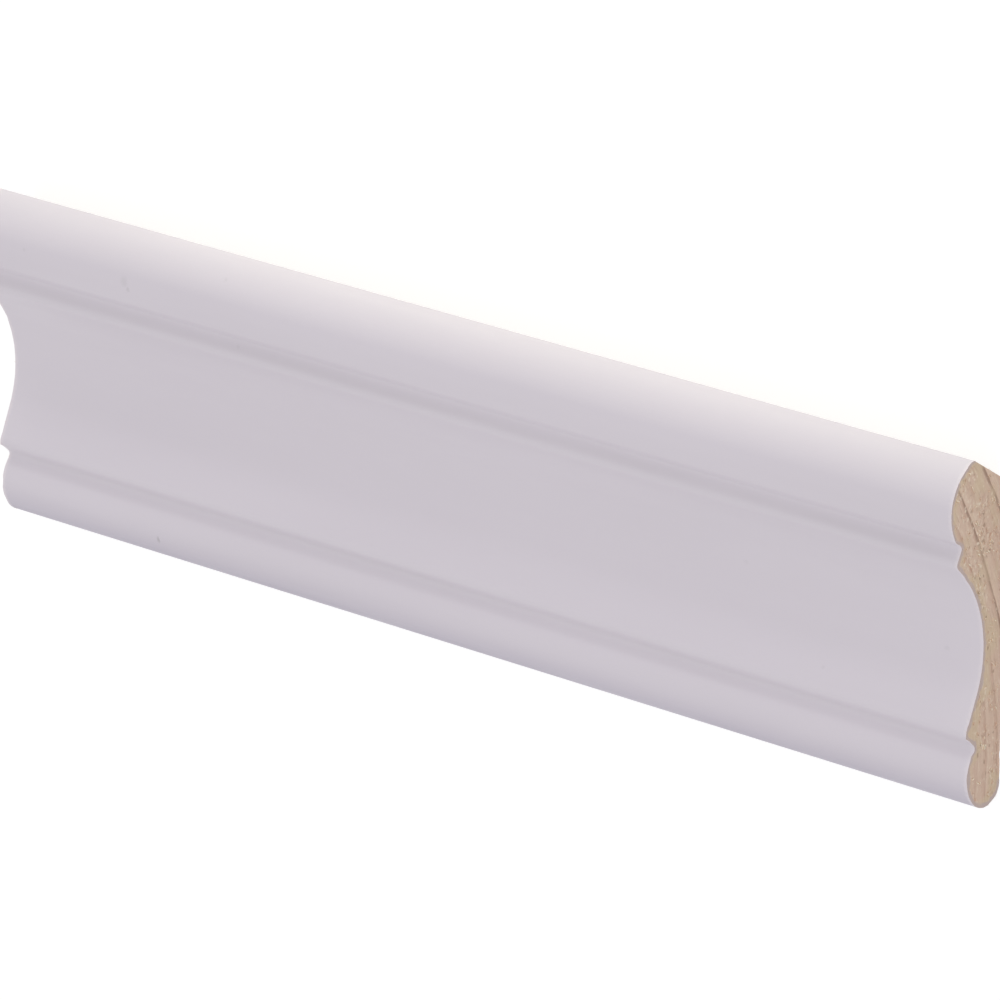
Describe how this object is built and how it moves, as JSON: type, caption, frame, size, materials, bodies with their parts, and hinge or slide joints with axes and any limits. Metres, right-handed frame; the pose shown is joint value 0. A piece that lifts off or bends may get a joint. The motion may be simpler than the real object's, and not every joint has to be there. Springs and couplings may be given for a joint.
{
  "type": "cornice moulding",
  "caption": "Length of timber cornice moulding with an upper bead, quirk, wide cove and lower bead, flat back, bevelled ceiling seat and bare sawn ends, painted white.",
  "frame": {"origin": "centre of the flat back, on the surface that the moulding lies on", "axes": "+X along the length, +Y towards the ceiling edge, +Z out of the moulded face"},
  "size_m": [0.265, 0.07, 0.015],
  "materials": {
    "painted_pine": "satin white paint on the moulded face; bare pine on the sawn ends and the back"
  },
  "bodies": {
    "root": {"cornice_moulding": "painted_pine"}
  },
  "joints": []
}
